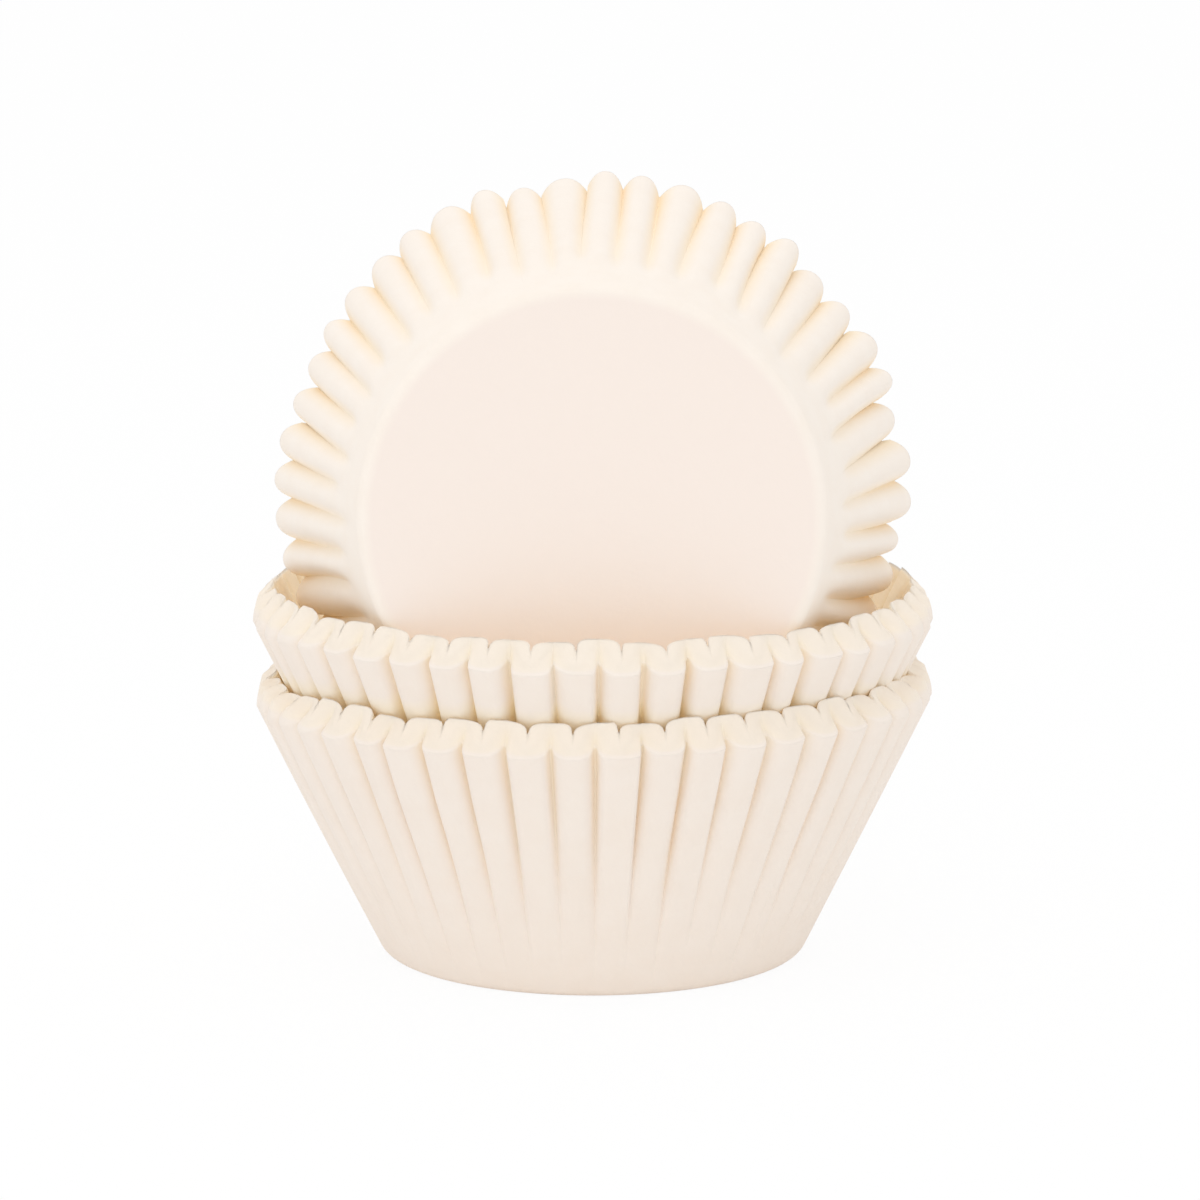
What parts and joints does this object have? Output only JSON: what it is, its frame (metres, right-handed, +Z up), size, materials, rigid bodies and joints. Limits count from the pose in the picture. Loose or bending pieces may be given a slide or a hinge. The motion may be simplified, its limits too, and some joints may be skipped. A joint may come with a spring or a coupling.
{
  "type": "stack of cupcake liners",
  "caption": "Stack of pleated paper cupcake liners: two pressed bundles nested upright, and one liner standing on its edge in the upper bundle with its flat base to the front.",
  "frame": {"origin": "centre of the lower bundle's flat base, on the surface that the stack stands on", "axes": "+Z up along the axis of both bundles, -Y the front, where the base of the liner that stands on its edge faces, +X to the right seen from the front"},
  "size_m": [0.076, 0.076, 0.0862],
  "materials": {
    "liner_paper": "matte"
  },
  "bodies": {
    "root": {"lower_bundle": "liner_paper", "upper_bundle": "liner_paper", "leaning_liner": "liner_paper"}
  },
  "joints": []
}
